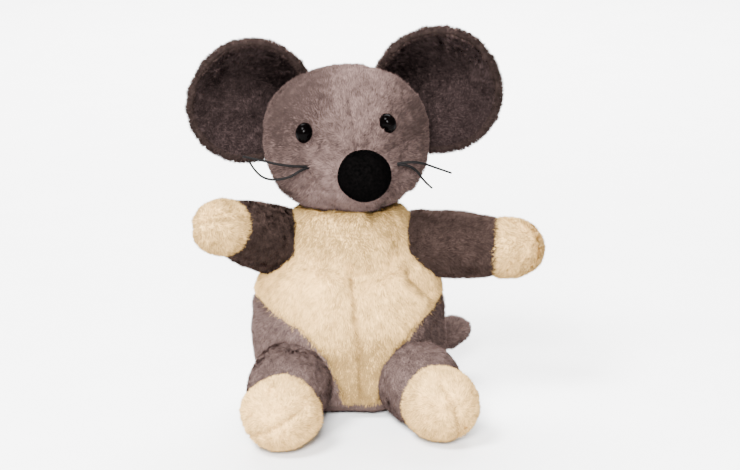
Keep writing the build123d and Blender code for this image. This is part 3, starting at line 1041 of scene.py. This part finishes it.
def make_head():
    skull = ball(HEAD_CENTRE, HEAD_RADII - PILE_ROOM, 2.3)
    muzzle = ball(MUZZLE, MUZZLE_RADII - PILE_ROOM)
    cheeks = [ball(HEAD_CENTRE + (across, -13, -14), (23, 24, 19.5)) for across in (-18, 20)]
    ridge_form = ball((MUZZLE + HEAD_CENTRE) / 2 + (2, -6.5, 6), (15, 30, 22))
    body = fused("head_form", [skull, muzzle, ridge_form, *cheeks], 3.4, 3)
    puffed(body, lambda points: ridge(np.linalg.norm(points - NOSE, axis=1) - 12, 5), 2.0)
    refined(body, 2)
    moved_along_normals(body, head_relief(points_of(body.data)))
    panels = cut_panels(body, head_region(face_middles(body.data)), HEAD_PANELS)
    for name in HEAD_PANELS:
        dress(name, "head", panels[name], "head", away_from_nose, darker=painted_face_shade)

    low, high = low_high("head_finger_pocket")
    radius = (high[0] - low[0]) / 2
    middle_x, middle_y = (low[0] + high[0]) / 2, (low[1] + high[1]) / 2
    pocket = []
    for up, size in (
        (0, 1.0), (0.35, 0.98), (0.62, 1.0), (0.78, 0.97), (0.9, 0.78), (0.97, 0.45), (1.0, 0.05),
    ):
        at = (middle_x, middle_y, low[2] + 2 + up * (high[2] - low[2] - 2))
        pocket.append((at, (radius - 0.6) * size, (radius - 0.6) * size))
    verts, faces = ring_loft(pocket, FLAT_WAYS, 40)
    bag = refined(new_object("head_finger_pocket_bag", verts, faces[:-2] + faces[-1:], [COTTON]), 1)
    moved_along_normals(bag, 0.6 * noise(points_of(bag.data), 6.0, 74) - 0.3)
    placed(thickened(bag), "head", "head_finger_pocket")
    room = [((x, y, z), a + 2.0, b + 2.0) for (x, y, z), a, b in pocket]
    room[0] = ((middle_x, middle_y, low[2] - 20), radius + 2, radius + 2)
    filling = [
        ball(HEAD_CENTRE, HEAD_RADII - PILE_ROOM - 8, 2.4),
        ball(MUZZLE, MUZZLE_RADII - PILE_ROOM - 8),
    ]
    inner_piece("head_stuffing", filling, [ring_loft(room, FLAT_WAYS, 32)])

    dome = (
        (0.3, -2.4), (3, -2.3), (5.3, -1.9), (5.9, -0.8), (5.85, 0.5), (5.35, 1.9), (4.4, 3.2), (3.1, 4.2),
        (1.6, 4.75), (0.3, 4.9),
    )
    for name, narrowed, tilt in (("left_eye", 0.86, 0.1), ("right_eye", 0.84, -0.35)):
        seat, outward = eye_seat(name)
        eye = revolved(name + "_dome", seat - outward * 0.8, outward, dome, EYE, narrowed, tilt)
        placed(eye, "head", name)

    form = ball(NOSE, (NOSE_R * 1.03, NOSE_R, NOSE_R * 1.01), 2.1)
    made = refined(new_object("nose_ball", *form, [FLOCK]), 1)
    moved_along_normals(made, 0.5 * noise(points_of(made.data), 9.0, 81) - 0.4)
    placed(made, "head", "nose")
    flock = pile(
        "nose_pile", (points_of(made.data), normals_of(made.data), polygons_of(made)), "flock",
        lambda places: np.tile((0.2, 0.1, -1.0), (len(places), 1)), FLOCK_TUFTS, 91,
    )
    placed(flock, "head", "nose", replaced=False)

    thread_curve(
        "left_whisker_threads", "left_whiskers",
        (
            ((1.06, 0.9, 0.5), (0.95, 0.5, 0.52), (0.62, 0.3, 0.62), (0.3, 0.45, 0.84), (0.0, 0.8, 1.0)),
            (
                (1.06, 0.9, 0.48), (0.93, 0.4, 0.4), (0.72, 0.2, -0.02),
                (0.4, 0.1, -0.1), (0.2, 0.2, 0.3), (0.1, 0.3, 0.86),
            ),
        ),
        0.85,
    )
    thread_curve(
        "right_whisker_threads", "right_whiskers",
        (
            ((-0.06, 0.05, 0.9), (0.08, 0.0, 0.97), (0.4, 0.1, 0.95), (0.7, 0.5, 0.72), (1.0, 0.95, 0.5)),
            ((-0.06, 0.05, 0.88), (0.1, 0.0, 0.9), (0.32, 0.1, 0.68), (0.45, 0.3, 0.3), (0.62, 0.6, 0.02)),
        ),
        0.85,
    )
    for name in ("eye_washers", "nose_washer"):
        node_object = frame["nodes"][name]
        for slot in node_object.material_slots:
            slot.material = WASHER


# Ears

# Distance from the middle and depth behind the rim, in shares of the radius and in millimetres
EAR_FRONT = ((0.0, 13.0), (0.3, 12.2), (0.55, 9.8), (0.72, 6.0), (0.84, 2.2), (0.92, 0.4), (1.0, 2.6))
EAR_BACK = ((1.0, 6.2), (0.92, 9.6), (0.78, 13.0), (0.55, 16.2), (0.3, 18.2), (0.0, 18.8))
EAR_SEAM = 0.87
# How much wider the ear is at the outer foot, and narrower at the outer and the inner top
EAR_LOBES = {"left": (0.085, 0.06, 0.05), "right": (0.03, 0.015, 0.045)}


def make_ear(side):
    """A dished ear of two cloths that meet just inside the rim."""
    names = (f"{side}_ear_front", f"{side}_ear_back")
    low, high = low_high(*names)
    radius = (high[2] - low[2]) / 2 - PILE_ROOM + 2.4
    outwards = -1.0 if side == "left" else 1.0
    edge = low[0] if side == "left" else high[0]
    centre = np.array([edge - outwards * (high[2] - low[2]) / 2, low[1] + 0.5, (low[2] + high[2]) / 2])
    centre[2] += 1.0 if side == "right" else 0.5
    sides = 72
    levels = [
        (centre + (0, depth, 0), radius * reach, radius * reach) for reach, depth in EAR_FRONT + EAR_BACK
    ]
    levels[0] = (levels[0][0], 0.5, 0.5)
    levels[-1] = (levels[-1][0], 0.5, 0.5)
    form = ring_loft(levels, BACK_WAYS, sides)
    made = refined(new_object(side + "_ear_form", *form), 2)

    def placing(points):
        """How far each place is inward, up and out from the middle, in shares of the radius."""
        inward = -outwards * (points[:, 0] - centre[0]) / radius
        up = (points[:, 2] - centre[2]) / radius
        return inward, up, np.hypot(inward, up)

    def shift(points):
        """How far the ear's fold and curl move each place backwards."""
        inward, up, reach = placing(points)
        fold = 9.0 * step(inward, -0.3, 0.7) * ridge(up - 0.1 + 0.3 * inward, 0.5)
        fold += 5.0 * ridge(np.hypot(inward - 0.05, up - 0.32), 0.42)
        fold -= 4.0 * ridge(np.hypot(inward + 0.15, up + 0.42), 0.4)
        fold += 4.0 * step(inward, 0.1, 0.9)
        fold -= 4.0 * step(reach, 0.55, 1.0) * step(up, 0.2, 1.0)
        fold -= 2.5 * step(-inward, 0.3, 1.0)
        level = points * (1, 0, 1)
        return fold + 1.1 * noise(level, 15.0, 41) + 0.5 * noise(level, 6.0, 42)

    points = points_of(made.data)
    points[:, 1] += shift(points)
    set_points(made.data, points)
    reach_front, depth_front = np.array(EAR_FRONT).T
    reach_back, depth_back = np.array(EAR_BACK[::-1]).T

    def parts(places):
        reach = placing(places)[2]
        depth = places[:, 1] - shift(places) - centre[1]
        between = (np.interp(reach, reach_front, depth_front) + np.interp(reach, reach_back, depth_back)) / 2
        return reach, depth < between

    reach, facing = parts(points)
    relief = -1.1 * facing * ridge((reach - EAR_SEAM) * radius, 1.3)
    relief += 0.4 * noise(points, 2.6, 43)
    reach, facing = parts(face_middles(made.data))
    region = np.where(facing & (reach < EAR_SEAM), 0, 1)
    moved_along_normals(made, relief)
    inward, up, reach = placing(points)
    turn = np.arctan2(up, -inward)
    foot, top, inner = EAR_LOBES[side]
    lobes = foot * np.maximum(np.cos(turn + 0.8), 0) ** 3 - top * np.maximum(np.cos(turn - 0.8), 0) ** 3
    lobes -= inner * np.maximum(np.cos(turn - 2.3), 0) ** 3
    points = points_of(made.data)
    points += (points - centre) * (1, 0, 1) * (lobes * step(reach, 0.1, 0.9))[:, None]
    set_points(made.data, points)
    panels = cut_panels(made, region, names)
    base = centre - np.array([outwards * radius, 0, radius * 0.25])

    def from_base(places):
        return places - base

    # Painted shade in the ear's fold next to the head and in its hollow.
    def painted_fold_shade(places):
        inward, up, _ = placing(places)
        hollow = ridge(np.hypot(inward - 0.1, up - 0.32), 0.4)
        return 0.8 * step(inward, 0.0, 0.75) + 0.3 * hollow - 0.15

    dress(
        names[0], f"{side}_ear", panels[names[0]], "ear", from_base, cloth="ear", darker=painted_fold_shade
    )
    dress(names[1], f"{side}_ear", panels[names[1]], "ear", from_base, cloth="rim")


# Limbs


def make_limb(side, limb, end_node, profile, seam_at, shape, cloth):
    """A stuffed limb: a dark sleeve and a cream end, with a pucker across the tip.

    shape holds the end's width, height and length against the profile's, the pucker's direction,
    and how much painted shade darkens its pile (painted light where below 0).
    """
    body_name = f"{side}_{limb}"
    root = hinge_point(body_name + "_lift")
    level = unit(np.array(HINGES[body_name + "_lift"]["axis"]))
    end = middle(end_node) - root
    ahead = unit(end - level * np.dot(end, level))
    up = np.cross(level, ahead)
    rounded = [(reach, max(radius - PILE_ROOM, 0.6)) for reach, radius in profile]
    body = fused(f"{side}_{limb}_form", [limb_rings(root, ahead, rounded)], 3.4, 2)

    def held(points):
        along = (points - root) @ ahead
        return np.maximum(ridge(along - seam_at, 4), along < 0)

    puffed(body, held, 2.0)
    refined(body, 2)
    points = points_of(body.data)
    along = (points - root) @ ahead
    off = points - root - along[:, None] * ahead
    tip = profile[-1][0]
    relief = -1.1 * ridge(along - seam_at, 1.9)
    beside = np.abs(off @ unit(level * shape["pucker"][0] + up * shape["pucker"][1]))
    relief -= (1.6 * ridge(beside, 1.5) + 1.2 * ridge(beside, 4.5)) * step(along, tip - 18, tip - 10)
    relief += 1.0 * noise(points, 17.0, 52) + 0.4 * noise(points, 6.0, 53) + 0.25 * noise(points, 2.8, 54)
    moved_along_normals(body, relief)
    lowest = -profile[len(profile) // 2][1] if shape["grounded"] else 0.0

    def reshaped(points):
        """Brings the end to its own width, height and length."""
        along = (points - root) @ ahead
        reached = step(along, seam_at - 20, seam_at + 8)
        points = points + np.outer((points - root) @ level * (shape["wide"] - 1) * reached, level)
        points += np.outer(((points - root) @ up - lowest) * (shape["tall"] - 1) * reached, up)
        return points + np.outer(np.maximum(along - seam_at, 0) * (shape["long"] - 1), ahead)

    set_points(body.data, reshaped(points_of(body.data)))
    names = (f"{side}_{limb}_sleeve", end_node)

    region = np.where((face_middles(body.data) - root) @ ahead < seam_at, 0, 1)
    panels = cut_panels(body, region, names)

    def along_limb(places):
        return np.tile(ahead + (0, 0, -0.35), (len(places), 1))

    def from_tip(places):
        return np.tile(-ahead + (0, 0, -0.3), (len(places), 1))

    look = "thigh" if limb == "leg" else "body"
    dress(names[0], body_name, panels[names[0]], look, along_limb, cloth=cloth)
    dress(
        names[1], body_name, panels[names[1]], "end", from_tip,
        darker=lambda places: np.full(len(places), shape["painted_shade"]),
    )
    core = [(reach, radius) for reach, radius in rounded if radius > 10]
    core_verts, core_faces = limb_rings(root, ahead, [(reach, radius - 7.0) for reach, radius in core], 24)
    inner_piece(f"{side}_{limb}_stuffing", [(reshaped(core_verts), core_faces)])


# Distance ahead of the root and radius; the narrowest place is the seam of the paw or foot
ARM_PROFILE = (
    (-20.5, 0.0), (-18.5, 9.0), (-14.5, 14.5), (-8.0, 18.9), (0.0, 20.8), (14.0, 20.8), (30.0, 20.0),
    (42.0, 18.9), (46.0, 18.4), (51.0, 19.2), (58.0, 19.2), (65.0, 17.6), (71.0, 14.0), (75.0, 8.6),
    (77.0, 0.0),
)
LEG_PROFILE = (
    (-24.5, 0.0), (-22.5, 9.5), (-17.5, 17.0), (-9.5, 22.6), (0.0, 24.8), (12.0, 25.6), (24.0, 24.6),
    (33.0, 22.4), (36.0, 21.8), (41.0, 23.4), (48.0, 24.2), (56.0, 22.6), (63.0, 18.4), (68.0, 12.5),
    (71.5, 0.0),
)


ARM_SEAM = 46.0
LEG_SEAM = 36.0
# Painted shade darkens the cream pile of the paws, and painted light lightens the feet a little.
SHAPES = {
    "left_arm": dict(wide=0.88, tall=0.9, long=0.82, grounded=False, pucker=(0.4, 0.9), painted_shade=0.26),
    "right_arm": dict(wide=1.0, tall=1.0, long=1.0, grounded=False, pucker=(1.0, 0.0), painted_shade=0.26),
    "left_leg": dict(wide=1.0, tall=0.86, long=1.0, grounded=True, pucker=(0.55, 0.83), painted_shade=-0.06),
    "right_leg": dict(wide=0.93, tall=0.93, long=1.0, grounded=True, pucker=(0.95, -0.3), painted_shade=-0.02),
}


def make_tail():
    root = hinge_point("tail_sweep")
    ahead = unit(middle("tail_sleeve") - root)
    profile = (
        (-9.5, 0.0), (-8.3, 4.6), (-5.0, 8.0), (0.0, 9.5), (20.0, 9.3), (42.0, 9.6),
        (56.0, 10.4), (62.0, 9.4), (66.5, 6.0), (68.0, 0.0),
    )
    rounded = [(reach, max(radius - 1.2, 0.5)) for reach, radius in profile]
    body = fused("tail_form", [limb_rings(root, ahead, rounded, 28)], 2.4, 2)
    refined(body, 2)
    points = points_of(body.data)
    moved_along_normals(body, 1.3 * noise(points, 10.0, 61) + 0.6 * noise(points, 4.0, 62))
    points = points_of(body.data)
    points[:, 2] += 3.5 * step((points - root) @ ahead, 25, 66)
    set_points(body.data, points)
    panel = cut_panels(body, np.zeros(len(body.data.polygons)), ("tail_sleeve",))["tail_sleeve"]
    dress("tail_sleeve", "tail", panel, "body", lambda places: np.tile(ahead, (len(places), 1)), cloth="mid")
    core = [(reach, radius - 3.0) for reach, radius in rounded if radius > 4.5]
    inner_piece("tail_stuffing", [limb_rings(root, ahead, core[:-2], 20)], voxel=3.0, lumps=0.4)


# Studio


def make_studio():
    """A pale floor and soft lights."""
    floor_material, tree, shader = shader_of("floor", Roughness=0.9)
    speckle = mottle(tree, (0.72, 0.72, 0.723), (0.74, 0.74, 0.74), 60.0)
    tree.links.new(speckle, shader.inputs["Base Color"])
    corners = [(-4000, -3000, 0), (4000, -3000, 0), (4000, 6000, 0), (-4000, 6000, 0)]
    new_object("floor", corners, [(0, 1, 2, 3)], [floor_material])
    world = bpy.data.worlds.new("studio")
    bpy.context.scene.world = world
    world.use_nodes = True
    sky = world.node_tree.nodes["Background"]
    sky.inputs["Color"].default_value = (1, 1, 1, 1)
    sky.inputs["Strength"].default_value = 0.65
    for name, place, target, size, power in (
        ("key", (-0.12, -1.6, 0.95), (0, 0, 0.11), 0.5, 165.0),
        ("high", (-0.7, -0.9, 1.6), (0, 0, 0.11), 0.6, 140.0),
        ("back", (0.0, 1.5, 1.5), (0, 1.3, 0), 1.8, 300.0),
    ):
        light = bpy.data.lights.new(name, "AREA")
        light.energy = power
        light.size = size
        lamp = bpy.data.objects.new(name, light)
        lamp.location = place
        aim = Vector(target) - Vector(place)
        lamp.rotation_euler = aim.to_track_quat("-Z", "Y").to_euler()
        bpy.context.scene.collection.objects.link(lamp)


CAMERA_FAR = 1.15
CAMERA_ELEVATION = math.radians(15)
AIM_HEIGHT = 0.1035
CAMERA_SIDE = 0.01257
LENS = 93.4
SENSOR = 36.0


def make_camera():
    lens = bpy.data.cameras.new("camera")
    lens.sensor_width = SENSOR
    lens.lens = LENS
    camera = bpy.data.objects.new("camera", lens)
    back, rise = CAMERA_FAR * math.cos(CAMERA_ELEVATION), CAMERA_FAR * math.sin(CAMERA_ELEVATION)
    camera.location = (CAMERA_SIDE, -back, AIM_HEIGHT + rise)
    camera.rotation_euler = (math.pi / 2 - CAMERA_ELEVATION, 0, 0)
    bpy.context.scene.collection.objects.link(camera)
    bpy.context.scene.camera = camera


make_camera()
make_studio()
make_torso()
make_head()
for side in ("left", "right"):
    make_ear(side)
    make_limb(side, "arm", f"{side}_paw", ARM_PROFILE, ARM_SEAM, SHAPES[side + "_arm"], "dark_taupe_plush")
    make_limb(side, "leg", f"{side}_foot", LEG_PROFILE, LEG_SEAM, SHAPES[side + "_leg"], "mid")
make_tail()
